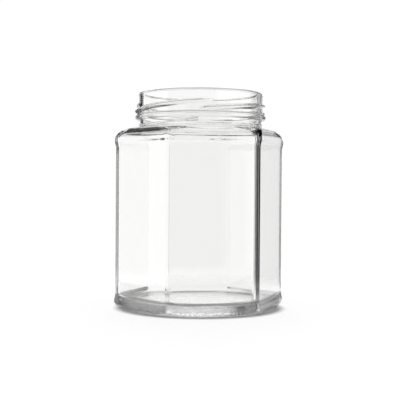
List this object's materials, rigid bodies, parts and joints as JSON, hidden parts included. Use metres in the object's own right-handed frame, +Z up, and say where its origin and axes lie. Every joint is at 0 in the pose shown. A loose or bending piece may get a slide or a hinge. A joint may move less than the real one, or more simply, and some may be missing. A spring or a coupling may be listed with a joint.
{
  "type": "hexagonal glass jar",
  "caption": "Empty clear glass jar with six flat sides, a round wide neck with slanting thread leads for a twist-off lid, and an open mouth.",
  "frame": {"origin": "middle of the foot ring, on the surface that the jar stands on", "axes": "+Z up out of the mouth; one flat panel faces -Y and two upright corners lie on +X and -X"},
  "size_m": [0.0806, 0.071, 0.101],
  "materials": {
    "glass": "gloss"
  },
  "bodies": {
    "root": {"jar": "glass"}
  },
  "joints": []
}
